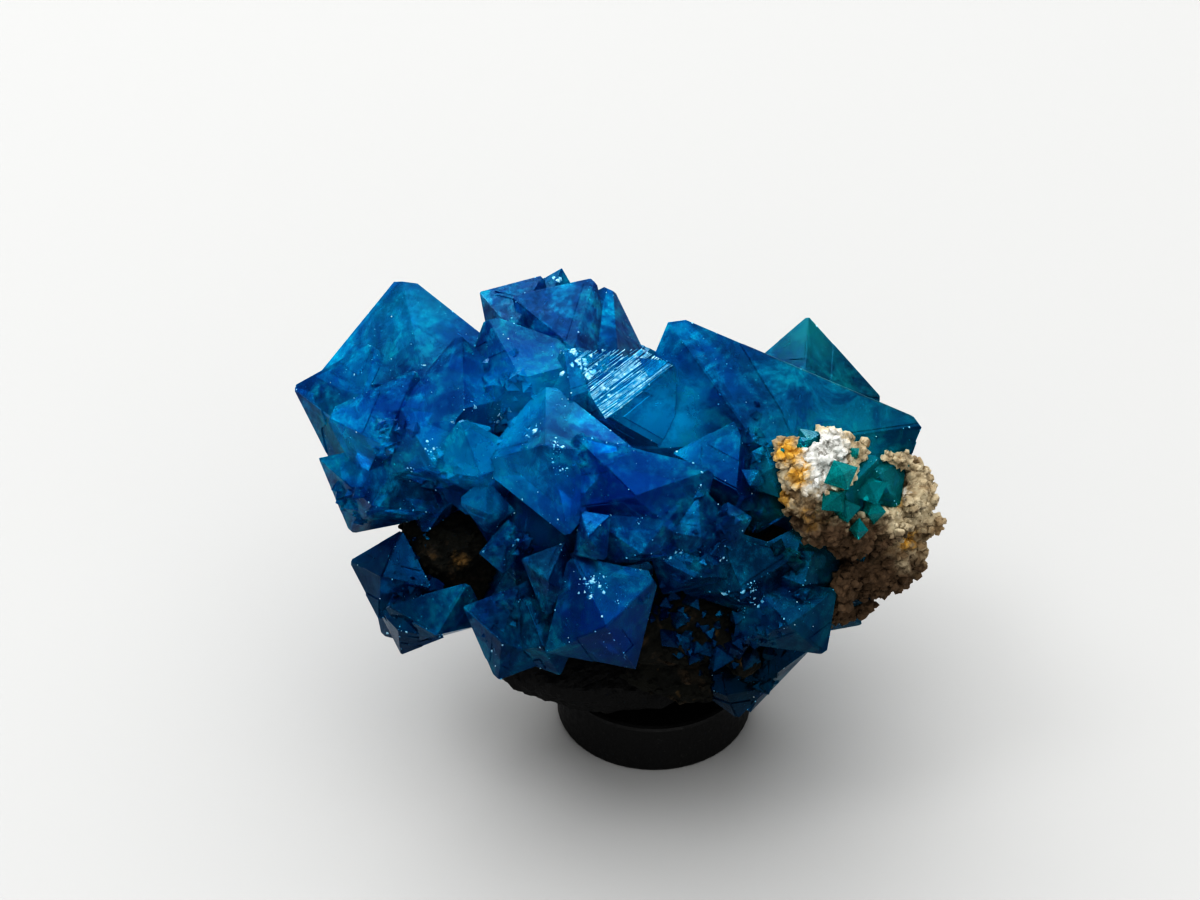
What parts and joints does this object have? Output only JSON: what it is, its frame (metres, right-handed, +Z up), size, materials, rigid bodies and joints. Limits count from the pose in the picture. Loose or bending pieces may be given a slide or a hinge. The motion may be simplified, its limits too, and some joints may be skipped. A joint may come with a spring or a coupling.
{
  "type": "liroconite crystal specimen",
  "caption": "Cluster of blue to blue-green flattened octahedral crystals on a crumbly pale and brown matrix, set with black putty on a short round peg.",
  "frame": {"origin": "centre of the peg's flat base", "axes": "+Z up from the base, +X along the specimen's width, to the right as it is displayed, -Y towards the displayed side"},
  "size_m": [0.012, 0.0072, 0.0089],
  "materials": {
    "liroconite": "vitreous translucent crystal, blue to blue-green",
    "dark_matrix": "rough dark brown rock with ochre spots",
    "pale_matrix": "crumbly white, ochre and brown crust",
    "putty": "matt black putty, rough",
    "peg": "matt black"
  },
  "bodies": {
    "root": {"liroconite_crystals": "liroconite", "matrix_rock": "dark_matrix", "matrix_crust": "pale_matrix", "mounting_putty": "putty", "peg": "peg"}
  },
  "joints": []
}
